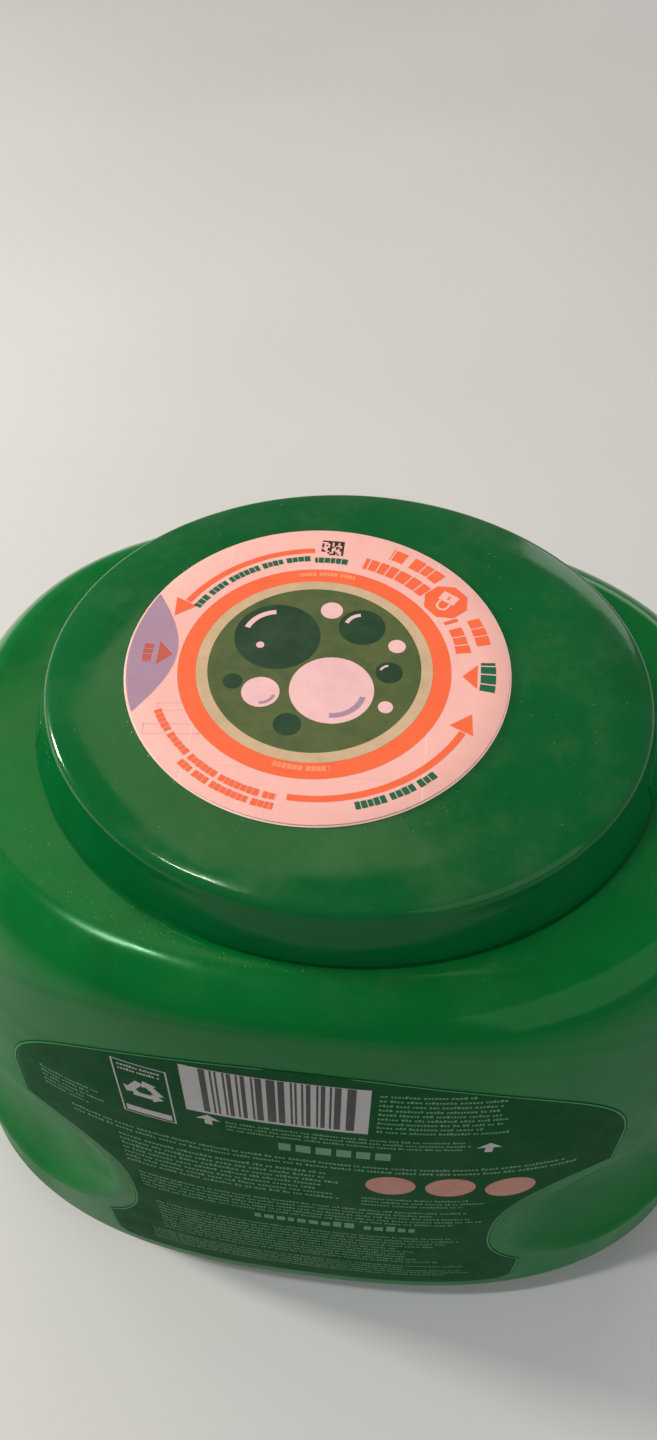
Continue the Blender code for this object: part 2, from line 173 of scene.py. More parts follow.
class Shader:
    """Material with short calls that add and join its nodes."""

    def __init__(self, name):
        self.mat = bpy.data.materials.new(name)
        self.mat.use_nodes = True
        self.tree = self.mat.node_tree
        self.bsdf = self.tree.nodes["Principled BSDF"]
        self.coord = self.tree.nodes.new("ShaderNodeTexCoord").outputs["Object"]

    def new(self, kind, inputs=None, **props):
        node = self.tree.nodes.new(kind)
        for key, value in props.items():
            setattr(node, key, value)
        for key, value in (inputs or {}).items():
            self.put(node.inputs[key], value)
        return node

    def put(self, socket, value):
        if isinstance(value, bpy.types.NodeSocket):
            self.tree.links.new(value, socket)
        else:
            socket.default_value = value

    def noise(self, scale, detail=3.0, rough=0.5, distortion=0.0):
        inputs = {"Vector": self.coord, "Scale": scale, "Detail": detail}
        inputs.update({"Roughness": rough, "Distortion": distortion})
        return self.new("ShaderNodeTexNoise", inputs).outputs["Fac"]

    def ramp(self, value, low, high, out_low=0.0, out_high=1.0):
        inputs = {"Value": value, "From Min": low, "From Max": high}
        inputs.update({"To Min": out_low, "To Max": out_high})
        node = self.new("ShaderNodeMapRange", inputs, interpolation_type="SMOOTHSTEP")
        return node.outputs["Result"]

    def math(self, op, a, b=0.0):
        return self.new("ShaderNodeMath", {0: a, 1: b}, operation=op).outputs[0]

    def axis(self, name, vector=None):
        node = self.new("ShaderNodeSeparateXYZ", {"Vector": vector or self.coord})
        return node.outputs[name]

    def mix(self, factor, a, b):
        inputs = {"Factor": factor, "A": a, "B": b}
        return self.new("ShaderNodeMix", inputs, data_type="RGBA").outputs["Result"]

    def bump(self, height, strength, distance, after=None):
        inputs = {"Height": height, "Strength": strength, "Distance": distance}
        if after is not None:
            inputs["Normal"] = after
        return self.new("ShaderNodeBump", inputs).outputs["Normal"]

    def set(self, **values):
        for key, value in values.items():
            self.put(self.bsdf.inputs[key.replace("_", " ")], value)


def plastic(name, colors, rough, wave, dusty, tint, satin=0.0):
    """Glossy moulded plastic with flow marks, fine scuffs and a thin dust film.

    Upright sides mirror less than the top does, and satin roughens them too.
    """
    s = Shader(name)
    color, deep, pale = (srgb(*values) for values in colors)
    tone = s.mix(s.ramp(s.noise(34.0, 4.0, 0.55, 0.6), 0.30, 0.72), deep, color)
    tone = s.mix(s.ramp(s.noise(9.0, 2.0), 0.45, 0.80, 0.0, 0.30), tone, pale)
    tone = s.mix(s.ramp(s.noise(2600.0, 2.0, 0.6), 0.62, 0.80, 0.0, 0.10), tone, pale)
    slope = s.axis("Z", s.new("ShaderNodeNewGeometry").outputs["Normal"])
    level = s.ramp(slope, 0.60, 0.99)
    film = s.math("MULTIPLY", s.ramp(s.noise(60.0, 6.0, 0.72), 0.42, 0.78), level)
    film = s.math("MULTIPLY", film, dusty)
    tone = s.mix(film, tone, srgb(150, 156, 130))
    smear = s.ramp(s.noise(22.0, 3.0, 0.6, 1.6), 0.40, 0.78, rough - 0.03, rough + 0.09)
    scuff = s.ramp(s.noise(460.0, 5.0, 0.75), 0.62, 0.85, 0.0, 0.16)
    wear = s.math("ADD", s.math("ADD", smear, scuff), film)
    upper = s.ramp(slope, 0.15, 0.45)
    if satin:
        upper = s.math("MULTIPLY", upper, s.ramp(s.axis("Z"), *SHOULDER_GLOSS))
        upper = s.math("MAXIMUM", upper, s.ramp(s.axis("Z"), *NECK_GLOSS))
        wear = s.math("ADD", wear, s.ramp(upper, 0.0, 1.0, satin, 0.0))
    normal = s.bump(s.noise(560.0, 2.0, 0.5), 0.05, 0.0002)
    normal = s.bump(s.noise(46.0, 2.0, 0.45), wave, 0.0014, normal)
    s.set(Base_Color=tone, Roughness=wear, Normal=normal)
    s.set(Specular_IOR_Level=s.ramp(upper, 0.0, 1.0, SIDE_SHEEN, TOP_SHEEN))
    s.set(Specular_Tint=tint, IOR=1.5, Subsurface_Weight=0.06)
    s.set(Subsurface_Radius=(0.15, 1.0, 0.35), Subsurface_Scale=0.004)
    return s.mat


def printed(name, color, second, rough=0.36, grain=0.4, folds=False, sheen=0.10):
    """Ink or label stock: fine mottling, press grain and a soft sheen."""
    s = Shader(name)
    color, second = srgb(*color), srgb(*second)
    mottle = s.ramp(s.noise(210.0, 5.0, 0.65), 0.35, 0.72, 0.0, grain)
    fleck = s.ramp(s.noise(3800.0, 2.0), 0.60, 0.82, 0.0, grain * 0.5)
    tone = s.mix(fleck, s.mix(mottle, color, second), second)
    wear = s.ramp(s.noise(90.0, 4.0, 0.7), 0.30, 0.75, rough - 0.06, rough + 0.08)
    normal = s.bump(s.noise(1500.0, 3.0, 0.6), 0.06, 0.0001)
    normal = s.bump(s.noise(30.0, 2.0, 0.5), 0.10, 0.0011, normal)
    if folds:
        page = 0.0
        for axis, place in FOLDS:
            line = s.ramp(s.axis(axis), place, place + FOLD_WIDTH)
            page = s.math("ADD", page, line)
        normal = s.bump(page, 0.5, 0.00014, normal)
    s.set(Base_Color=tone, Roughness=wear, Normal=normal)
    s.set(Specular_IOR_Level=sheen)
    return s.mat


TUB_GREEN = plastic(
    "tub_plastic_green", ((0, 102, 42), (0, 92, 36), (6, 114, 50)),
    rough=0.14, wave=0.14, dusty=0.04, tint=(0.45, 0.92, 0.52, 1.0),
    satin=0.24,
)
LID_GREEN = plastic(
    "lid_plastic_green", ((4, 91, 42), (1, 83, 37), (12, 100, 48)),
    rough=0.12, wave=0.09, dusty=0.07, tint=(0.75, 0.92, 0.62, 1.0),
)
PAPER = printed("sticker_paper", (242, 184, 174), (236, 173, 164), folds=True)
PAPER_EDGE = printed("sticker_edge", (238, 206, 196), (216, 180, 170), 0.45)
GHOST = printed("sticker_ghost_print", (230, 176, 170), (224, 168, 164))
ORANGE = printed("ink_orange", (244, 108, 68), (236, 96, 60))
ORANGE_PALE = printed("ink_pale_orange", (252, 146, 104), (246, 134, 94))
GREEN_INK = printed("ink_green", (38, 100, 70), (28, 88, 60))
LILAC = printed("ink_lilac", (170, 138, 158), (160, 128, 150))
DARK_INK = printed("ink_dark", (50, 46, 44), (62, 58, 56))
RUST = printed("ink_rust", (196, 92, 78), (184, 84, 72))
FILM_PALE = printed("ink_film", (206, 176, 142), (190, 164, 128), 0.30, 0.9)
FIELD = printed("ink_field", (88, 100, 60), (70, 88, 54), 0.30, 0.9)
FIELD_DARK = printed("ink_field_dark", (34, 62, 44), (46, 74, 50), 0.28, 0.9)
FIELD_WHITE = printed("ink_field_white", (238, 190, 188), (226, 176, 182), 0.3, 0.7)
LABEL_GREEN = printed("label_deep_green", (0, 68, 30), (0, 58, 25), 0.52, sheen=0.03)
LABEL_EDGE = printed("label_edge_line", (56, 128, 76), (44, 114, 64), 0.5)
# The label's white print is greyed here: painted shade, darker than the print's own
# white.
LABEL_WHITE_PAINTED_SHADE = printed("label_white", (170, 168, 166), (154, 152, 152), 0.5)
LABEL_TEXT = printed("label_pale_green", (88, 136, 98), (76, 124, 88), 0.5)
LABEL_PINK = printed("label_pink", (178, 126, 112), (160, 104, 92), 0.5)
LABEL_BRIGHT = printed("label_bright_green", (8, 140, 60), (4, 126, 54), 0.28)


def place_object(name, data):
    """New object that holds the data, linked to the scene."""
    piece = bpy.data.objects.new(name, data)
    bpy.context.scene.collection.objects.link(piece)
    return piece


def mesh_from(bm, name):
    mesh = bpy.data.meshes.new(name)
    bm.to_mesh(mesh)
    bm.free()
    return mesh


def smooth(mesh, angle):
    mesh.shade_smooth()
    mesh.set_sharp_from_angle(angle=math.radians(angle))


def add_mesh(name, points, faces, mat, body, angle=40.0):
    """Piece from points in millimetres, riding on a body."""
    mesh = bpy.data.meshes.new(name)
    mesh.from_pydata([tuple(p * MM) for p in points], [], faces)
    mesh.validate()
    mesh.materials.append(mat)
    smooth(mesh, angle)
    piece = place_object(name, mesh)
    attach(piece, body)
    return piece


def add_wall(piece, thickness):
    wall = piece.modifiers.new("wall", "SOLIDIFY")
    wall.thickness = thickness * MM
    wall.offset = -1.0
    wall.use_even_offset = True


def loft_faces(rows, count, closed=True):
    faces = []
    for r in range(rows - 1):
        for i in range(count if closed else count - 1):
            j = (i + 1) % count
            a, b = r * count, (r + 1) * count
            faces.append((a + i, a + j, b + j, b + i))
    return faces


def cap_faces(start, count, hub, upward):
    """Fan from a ring of points that begins at start to a middle point."""
    faces = []
    for i in range(count):
        j = (i + 1) % count
        face = (start + i, start + j, hub)
        faces.append(face if upward else face[::-1])
    return faces


def plan_radius(angle, half_x, half_y, power):
    c = abs(math.cos(angle)) / half_x
    s = abs(math.sin(angle)) / half_y
    return (c ** power + s ** power) ** (-1.0 / power)


def polar(angle, r, z):
    return Vector((r * math.cos(angle), r * math.sin(angle), z))


def round_angles(count):
    return [2.0 * math.pi * i / count for i in range(count)]


def turns(steps, first=1):
    """Even angles up to a quarter turn."""
    return [QUARTER * step / steps for step in range(first, steps + 1)]


def plan_ring(angles, half_x, half_y, power, z):
    return [polar(a, plan_radius(a, half_x, half_y, power), z) for a in angles]


def round_ring(angles, r, z):
    return [polar(a, r, z) for a in angles]


def wall_section(z):
    """Half length, half depth and power of the tub's plan at a height."""
    k = (WALL_TOP - max(z, BASE_ROUND)) / (WALL_TOP - BASE_ROUND)
    swell = 4.0 * k * (1.0 - k)
    half_x = TOP_HALF_X + (BASE_HALF_X - TOP_HALF_X) * k + SIDE_BULGE * swell
    half_y = TOP_HALF_Y + (BASE_HALF_Y - TOP_HALF_Y) * k + FACE_BULGE * swell
    power = POWER_TOP + (POWER_BASE - POWER_TOP) * k
    if z < BASE_ROUND:
        fall = (BASE_ROUND - z) / BASE_ROUND
        inset = BASE_ROUND * (1.0 - math.sqrt(1.0 - fall * fall))
        half_x -= inset
        half_y -= inset
    return half_x, half_y, power


def wall_point(angle, z):
    half_x, half_y, power = wall_section(z)
    return polar(angle, plan_radius(angle, half_x, half_y, power), z)


def wall_depth_at(x, z):
    half_x, half_y, power = wall_section(z)
    share = min(abs(x) / half_x, 0.999)
    return half_y * (1.0 - share ** power) ** (1.0 / power)


def shoulder_foot(angle):
    """Height at which the shoulder's round leaves the wall."""
    share = (abs(wall_point(angle, WALL_TOP).x) / TOP_HALF_X) ** SHOULDER_SWEEP
    return WALL_TOP - (END_DROP - FACE_DROP) * share


def shoulder_point(angle, turn):
    foot = shoulder_foot(angle)
    point = wall_point(angle, foot + (SHOULDER_HEIGHT - foot) * math.sin(turn))
    return point - polar(angle, SHOULDER_INSET * (1.0 - math.cos(turn)), 0.0)


def grip_frames():
    """Centre and outward normal of each of the four grip hollows."""
    frames = []
    for sx in (-1.0, 1.0):
        for sy in (-1.0, 1.0):
            y = sy * wall_depth_at(GRIP_OUT, GRIP_HEIGHT)
            normal = Vector((sx * math.sin(GRIP_TURN), sy * math.cos(GRIP_TURN), 0.0))
            frames.append((Vector((sx * GRIP_OUT, y, GRIP_HEIGHT)), normal))
    return frames


def press_grips(point, frames):
    for centre, normal in frames:
        offset = point - centre
        if offset.dot(normal) < -GRIP_LENGTH / 2.0:
            continue
        along = offset.x * normal.y - offset.y * normal.x
        d = (2.0 * along / GRIP_LENGTH) ** 2 + (2.0 * offset.z / GRIP_RISE) ** 2
        if d < 1.0:
            return point - normal * GRIP_DEPTH * (1.0 - d) ** 0.8
    return point


def build_tub():
    count, wall_rows = 288, 84
    base_steps, shoulder_steps, fillet_steps, lip_steps = 12, 18, 5, 4
    angles = round_angles(count)
    half_x, half_y, power = wall_section(0.0)
    rows = []
    for share in BASE_MIDDLE_SHARES:
        size = [(half - BASE_MIDDLE_INSET) * share for half in (half_x, half_y)]
        rows.append(plan_ring(angles, *size, BASE_MIDDLE_POWER, BASE_PUSH_UP))
    for inset, z in RING_FOOT:
        rows.append(plan_ring(angles, half_x - inset, half_y - inset, power, z))
    for turn in turns(base_steps, 0)[:-1]:
        z = BASE_ROUND * (1.0 - math.cos(turn))
        rows.append([wall_point(a, z) for a in angles])
    frames = grip_frames()
    for row in range(wall_rows + 1):
        ring = []
        for a in angles:
            z = BASE_ROUND + (shoulder_foot(a) - BASE_ROUND) * row / wall_rows
            ring.append(press_grips(wall_point(a, z), frames))
        rows.append(ring)
    for turn in turns(shoulder_steps):
        rows.append([shoulder_point(a, turn) for a in angles])
    foot_radius = NECK_RADIUS + NECK_FILLET
    edge = [shoulder_point(a, QUARTER) for a in angles]
    foot = round_ring(angles, foot_radius, SHOULDER_HEIGHT)
    for share in (0.35, 0.7, 0.92):
        rows.append([p.lerp(q, share) for p, q in zip(edge, foot)])
    for turn in turns(fillet_steps, 0):
        r = foot_radius - NECK_FILLET * math.sin(turn)
        z = SHOULDER_HEIGHT + NECK_FILLET * (1.0 - math.cos(turn))
        rows.append(round_ring(angles, r, z))
    for rise in (*NECK_ROW_RISES, NECK_HEIGHT - NECK_LIP):
        rows.append(round_ring(angles, NECK_RADIUS, SHOULDER_HEIGHT + rise))
    for turn in turns(lip_steps):
        r = NECK_RADIUS - NECK_LIP * (1.0 - math.cos(turn))
        z = NECK_TOP - NECK_LIP * (1.0 - math.sin(turn))
        rows.append(round_ring(angles, r, z))
    points = [p for row in rows for p in row]
    hub = len(points)
    points.append(Vector((0.0, 0.0, BASE_PUSH_UP)))
    faces = loft_faces(len(rows), count) + cap_faces(0, count, hub, False)
    tub = add_mesh("tub_shell", points, faces, TUB_GREEN, "tub", 50.0)
    add_wall(tub, TUB_WALL)
    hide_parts("tub")


def build_thread(name, radius, rise, start, z, pitch, mat, body):
    """Thread ridge with tapered ends; a negative rise turns it inward."""
    steps = 156
    root = radius - math.copysign(THREAD_BITE, rise)
    foot, crest = THREAD_HALF, THREAD_HALF * 0.4
    points = []
    for i in range(steps + 1):
        t = i / steps
        angle = start + 2.0 * math.pi * THREAD_TURNS * t
        near_end = min(1.0, t / THREAD_TAPER, (1.0 - t) / THREAD_TAPER)
        tip = radius + rise * math.sqrt(max(near_end, 0.0))
        level = z + pitch * THREAD_TURNS * t
        for r, dz in ((root, -foot), (tip, -crest), (tip, crest), (root, foot)):
            points.append(polar(angle, r, level + dz))
    last = steps * 4
    faces = loft_faces(steps + 1, 4)
    faces += [(3, 2, 1, 0), (last, last + 1, last + 2, last + 3)]
    if rise < 0.0:
        faces = [face[::-1] for face in faces]
    add_mesh(name, points, faces, mat, body, 55.0)


def lid_section(z):
    """Half length and half depth of the lid's side at a height."""
    share = (min(z, LID_SIDE_TOP) - LID_FOOT) / (LID_SIDE_TOP - LID_FOOT)
    half_x = LID_HALF_X - LID_END_DRAFT * share
    half_y = LID_HALF_Y - LID_FACE_DRAFT * share
    if z > LID_SIDE_TOP:
        rise = min((z - LID_SIDE_TOP) / LID_ROUND, 1.0)
        inset = LID_ROUND * (1.0 - math.sqrt(1.0 - rise * rise))
        half_x -= inset
        half_y -= inset
    return half_x, half_y


def lid_ring(z, angles, inset=0.0):
    half_x, half_y = lid_section(z)
    return plan_ring(angles, half_x - inset, half_y - inset, 2.0, z)


def lid_top_height(share):
    """Height of the lid's top at a share of the way out to its edge."""
    past = max(share - LID_LEVEL_SHARE, 0.0) / (1.0 - LID_LEVEL_SHARE)
    return LID_TOP - LID_CROWN * past * past


def lid_top_ring(share, angles):
    half_x = (LID_HALF_X - LID_END_DRAFT - LID_EDGE_INSET) * share
    half_y = (LID_HALF_Y - LID_FACE_DRAFT - LID_EDGE_INSET) * share
    return plan_ring(angles, half_x, half_y, 2.0, lid_top_height(share))


def lid_side_x(y, z):
    half_x, half_y = lid_section(z)
    return half_x * math.sqrt(1.0 - (y / half_y) ** 2)


def tab_window(side):
    """Cutter for the gap round one press tab, its upper corners rounded."""
    top = LID_FOOT + TAB_HEIGHT + TAB_SLIT
    low = LID_FOOT - CUT_MARGIN
    half = TAB_WIDTH / 2.0 + TAB_SLIT
    outer = LID_HALF_X + CUT_MARGIN
    inner = lid_side_x(half, top) - LID_WALL - CUT_MARGIN_INSIDE
    outline = [(-half, low), (half, low)]
    for start, cy in ((0.0, half - TAB_CORNER), (90.0, TAB_CORNER - half)):
        for step in range(6):
            a = math.radians(start + 18.0 * step)
            y = cy + TAB_CORNER * math.cos(a)
            outline.append((y, top - TAB_CORNER + TAB_CORNER * math.sin(a)))
    bm = bmesh.new()
    loops = []
    for x in (side * inner, side * outer):
        loops.append([bm.verts.new(Vector((x, y, z)) * MM) for y, z in outline])
    near, far = loops
    bm.faces.new(near)
    bm.faces.new(far)
    for i in range(len(outline)):
        j = (i + 1) % len(outline)
        bm.faces.new((near[i], near[j], far[j], far[i]))
    bmesh.ops.recalc_face_normals(bm, faces=bm.faces)
    return place_object("tab_window", mesh_from(bm, "tab_window"))


def build_lid():
    count, round_steps = 256, 8
    angles = round_angles(count)
    rows = [lid_ring(LID_FOOT, angles, 0.3), lid_ring(LID_FOOT + 0.12, angles, 0.08)]
    for share in (0.03, 0.2, 0.4, 0.6, 0.8, 1.0):
        rows.append(lid_ring(LID_FOOT + (LID_SIDE_TOP - LID_FOOT) * share, angles))
    for step in range(1, round_steps + 1):
        turn = QUARTER + (LID_LEAN - QUARTER) * step / round_steps
        rows.append(lid_ring(LID_SIDE_TOP + LID_ROUND * math.cos(turn), angles))
    for share in (0.97, 0.94, 0.91, 0.88, 0.85, 0.81, 0.77, 0.6, 0.35, 0.12):
        rows.append(lid_top_ring(share, angles))
    points = [p for row in rows for p in row]
    hub = len(points)
    points.append(Vector((0.0, 0.0, LID_TOP)))
    faces = loft_faces(len(rows), count) + cap_faces(hub - count, count, hub, True)
    lid = add_mesh("lid_shell", points, faces, LID_GREEN, "lid")
    add_wall(lid, LID_WALL)
    cutters = [tab_window(-1.0), tab_window(1.0)]
    for cutter in cutters:
        cut = lid.modifiers.new("window", "BOOLEAN")
        cut.operation = "DIFFERENCE"
        cut.solver = "EXACT"
        cut.object = cutter
    bpy.context.view_layer.update()
    graph = bpy.context.evaluated_depsgraph_get()
    mesh = bpy.data.meshes.new_from_object(lid.evaluated_get(graph))
    lid.modifiers.clear()
    lid.data = mesh
    smooth(mesh, 40.0)
    for cutter in cutters:
        bpy.data.objects.remove(cutter)
    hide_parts("lid")


def build_plug_ring():
    """Ring under the lid's top, with a rounded foot."""
    count = 192
    foot = LID_CEILING - RING_DROP
    top = LID_TOP - LID_CROWN
    profile = [
        (RING_OUT, top), (RING_OUT, foot + 0.5), (RING_OUT - 0.2, foot + 0.1),
        (RING_OUT - 0.6, foot), (RING_IN + 0.8, foot), (RING_IN, foot + 0.8),
        (RING_IN, top),
    ]
    points = []
    for r, z in profile:
        points += round_ring(round_angles(count), r, z)
    faces = []
    for a, b, c, d in loft_faces(len(profile) + 1, count):
        faces.append((b, a, d % len(points), c % len(points)))
    add_mesh("lid_plug_ring", points, faces, LID_GREEN, "lid", 30.0)


def build_tab(node, side, body):
    """Press tab: a tongue of the skirt with rounded upper corners."""
    columns, rows = 48, 12
    points = []
    for row in range(rows + 1):
        z = LID_FOOT + TAB_HEIGHT * row / rows
        past = min(max(z - (LID_FOOT + TAB_HEIGHT - TAB_CORNER), 0.0), TAB_CORNER)
        half = TAB_WIDTH / 2.0 - TAB_CORNER + math.sqrt(TAB_CORNER ** 2 - past ** 2)
        for col in range(columns + 1):
            y = half * (2.0 * col / columns - 1.0)
            points.append(Vector((side * lid_side_x(y, z), side * y, z)))
    faces = loft_faces(rows + 1, columns + 1, closed=False)
    tab = add_mesh(node + "_tongue", points, faces, LID_GREEN, body)
    add_wall(tab, TAB_WALL)
    bevel = tab.modifiers.new("edge", "BEVEL")
    bevel.width = TAB_EDGE * MM
    bevel.segments = 2
    bevel.limit_method = "ANGLE"
    bevel.angle_limit = math.radians(50.0)
    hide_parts(node)


def build_disc(name, radius, low, high, edge, mat, node):
    """Thin round sheet with softened rims."""
    count = 160
    profile = [(radius - edge, low), (radius, low + edge), (radius, high - edge)]
    profile += [(radius - edge * 0.3, high - edge * 0.3), (radius - edge, high)]
    profile += [(radius * share, high) for share in (0.85, 0.6, 0.3)]
    points = []
    for r, z in profile:
        points += [polar(a, r, z) + STICKER for a in round_angles(count)]
    hub = len(points)
    points += [STICKER + Vector((0.0, 0.0, low)), STICKER + Vector((0.0, 0.0, high))]
    faces = loft_faces(len(profile), count) + cap_faces(0, count, hub, False)
    faces += cap_faces(hub - count, count, hub + 1, True)
    disc = add_mesh(name, points, faces, mat, "lid", 35.0)
    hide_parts(node)


def flat_print(name, outlines, mat, level):
    """Ink shapes on the lid label; outlines run from the label's middle."""
    z = LEAFLET_TOP + PRINT_LIFT * (level + 1)
    bm = bmesh.new()
    for outline in outlines:
        ring = [Vector((x + STICKER.x, y + STICKER.y, z)) * MM for x, y in outline]
        bm.faces.new([bm.verts.new(place) for place in ring])
    bm.normal_update()
    for face in bm.faces:
        if face.normal.z < 0.0:
            face.normal_flip()
    bmesh.ops.triangulate(bm, faces=bm.faces)
    mesh = mesh_from(bm, name)
    mesh.materials.append(mat)
    piece = place_object(name, mesh)
    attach(piece, "lid")


def turned(points, degrees, x=0.0, y=0.0):
    c, s = math.cos(math.radians(degrees)), math.sin(math.radians(degrees))
    return [(x + px * c - py * s, y + px * s + py * c) for px, py in points]


def circle(x, y, r, count=96):
    return [(x + r * math.cos(a), y + r * math.sin(a)) for a in round_angles(count)]


def arc_band(radius, width, start, end, x=0.0, y=0.0):
    """Band along a circle between two angles in degrees."""
    count = max(4, int(abs(end - start) / 2.0))
    outer, inner = [], []
    for i in range(count + 1):
        a = math.radians(start + (end - start) * i / count)
        for side, r in ((outer, radius + width / 2.0), (inner, radius - width / 2.0)):
            side.append((x + r * math.cos(a), y + r * math.sin(a)))
    return outer + inner[::-1]


def arrow_head(radius, at, length, width):
    """Arrow head on a circle at an angle in degrees, pointing anticlockwise."""
    a = math.radians(at)
    shape = [(-width / 2.0, -0.6), (width / 2.0, -0.6), (0.0, length)]
    return turned(shape, at, radius * math.cos(a), radius * math.sin(a))


def letter_row(radius, height, start, end, rng):
    """Run of small upright blocks on a circle, in place of a line of print."""
    blocks = []
    at = start
    word = rng.randint(3, 7)
    while at < end:
        wide = math.degrees(rng.uniform(0.52, 0.80) * height / radius)
        tall = height * rng.choice((1.0, 1.0, 0.96, 0.9))
        blocks.append(arc_band(radius, tall, at, min(at + wide, end)))
        word -= 1
        gap = 0.16 if word else 0.75
        if not word:
            word = rng.randint(3, 7)
        at += wide + math.degrees(gap * height * 0.7 / radius)
    return blocks


def letter_rows(rows, rng):
    blocks = []
    for row in rows:
        blocks += letter_row(*row, rng)
    return blocks


def rectangle(x0, x1, y0, y1):
    return [(x0, y0), (x1, y0), (x1, y1), (x0, y1)]


def rounded_box(x, y, half_x, half_y, corner):
    points = []
    for qx, qy, start in ((1, 1, 0), (-1, 1, 90), (-1, -1, 180), (1, -1, 270)):
        for i in range(9):
            a = math.radians(start + 11.25 * i)
            px = x + qx * (half_x - corner) + corner * math.cos(a)
            points.append((px, y + qy * (half_y - corner) + corner * math.sin(a)))
    return points


def box_frame(x, y, half_x, half_y, width, turn):
    """Four thin bars round a rectangle."""
    bars = []
    for cx, cy, hx, hy in (
        (0.0, half_y, half_x, width), (0.0, -half_y, half_x, width),
        (half_x, 0.0, width, half_y), (-half_x, 0.0, width, half_y),
    ):
        bars.append(turned(rectangle(cx - hx, cx + hx, cy - hy, cy + hy), turn, x, y))
    return bars


def end_field():
    """Lens between the label's rim and a shallow curve, at the left end."""
    rim = STICKER_RADIUS - 0.5
    low, high = math.radians(157.0), math.radians(206.0)
    lens = []
    for i in range(33):
        a = low + (high - low) * i / 32
        lens.append((rim * math.cos(a), rim * math.sin(a)))
    (x0, y0), (x1, y1) = lens[0], lens[-1]
    for i in range(1, 28):
        t = i / 28
        swell = 6.0 * math.sin(math.pi * t)
        lens.append((x1 + (x0 - x1) * t + swell, y1 + (y0 - y1) * t))
    return lens


def build_rim_print(rng, middle):
    """Orange disc, end field, arrows and rows of blocks round the rim."""
    ghost = box_frame(-24.7, -19.0, 5.2, 1.1, 0.14, 6.0)
    ghost += box_frame(-24.6, -13.8, 3.6, 0.9, 0.14, 8.0)
    ghost.append(arc_band(24.0, 0.3, -162.0, -140.0))
    flat_print("lid_print_ghost", ghost, GHOST, 0)
    flat_print("lid_print_disc", [circle(*middle, 26.1, 160)], ORANGE, 1)
    flat_print("lid_print_end_field", [end_field()], LILAC, 2)
    mark = [(-31.0, 1.7), (-30.7, -4.2), (-28.0, -1.3)]
    flat_print("lid_print_end_mark", [mark], RUST, 3)
    letters = letter_row(32.9, 1.9, 178.5, 186.5, rng)
    flat_print("lid_print_end_letters", letters, RUST, 3)
    orange = [
        arc_band(30.5, 1.3, 98.0, 155.0), arrow_head(30.7, 156.5, 3.8, 4.8),
        arc_band(31.4, 1.3, -93.0, -26.0), arrow_head(31.0, -24.5, 3.8, 4.8),
        [(30.5, 2.7), (30.5, -3.2), (27.7, -0.5)],
        turned(circle(0.0, 0.0, 4.6, 8), 22.5, *LOCK_PLACE),
    ]
    flat_print("lid_print_arrows", orange, ORANGE, 2)
    # Radius, height, and first and last angle of each row
    rows = (
        (28.4, 3.2, 47.0, 77.0), (33.1, 3.2, 48.0, 69.0), (28.2, 2.9, 11.0, 29.0),
        (32.5, 2.9, 14.0, 28.0), (33.8, 1.45, 230.0, 263.5), (31.8, 1.45, 208.0, 263.5),
    )
    flat_print("lid_print_letters_orange", letter_rows(rows, rng), ORANGE, 2)
    rows = (
        (28.2, 1.5, 100.0, 156.0), (33.5, 1.6, 288.0, 315.5), (32.6, 2.9, -6.5, 6.0),
        (27.7, 1.6, 84.0, 98.0),
    )
    flat_print("lid_print_letters_green", letter_rows(rows, rng), GREEN_INK, 2)
    rows = ((25.0, 1.1, 258.0, 282.0), (23.6, 1.0, 78.0, 106.0))
    flat_print("lid_print_letters_pale", letter_rows(rows, rng), ORANGE_PALE, 3)


def build_lock_print():
    """Plain padlock on the orange octagon."""
    at = (150.0, *LOCK_PLACE)
    lock = [turned(rounded_box(0.0, -1.2, 1.8, 1.25, 0.25), *at)]
    lock.append(turned(arc_band(1.1, 0.45, 0.0, 180.0, 0.0, 1.2), *at))
    for side in (-1.1, 1.1):
        lock.append(turned(rectangle(side - 0.22, side + 0.22, 0.0, 1.2), *at))
    flat_print("lid_print_lock", lock, PAPER, 3)
    keyhole = [turned(rounded_box(0.0, -1.2, 0.22, 0.55, 0.2), *at)]
    flat_print("lid_print_keyhole", keyhole, ORANGE, 4)


def build_cell_print(rng):
    """Small field of scattered dark squares, full along two of its sides."""
    columns, rows, size = 11, 10, 0.42
    cells = []
    for i in range(columns):
        for j in range(rows):
            edge = i == columns - 1 or j == rows - 1
            if edge or rng.random() < 0.45:
                x, y = -2.9 + i * size, 29.3 + j * size
                cells.append(rectangle(x, x + size, y, y + size))
    flat_print("lid_print_cells", cells, DARK_INK, 2)


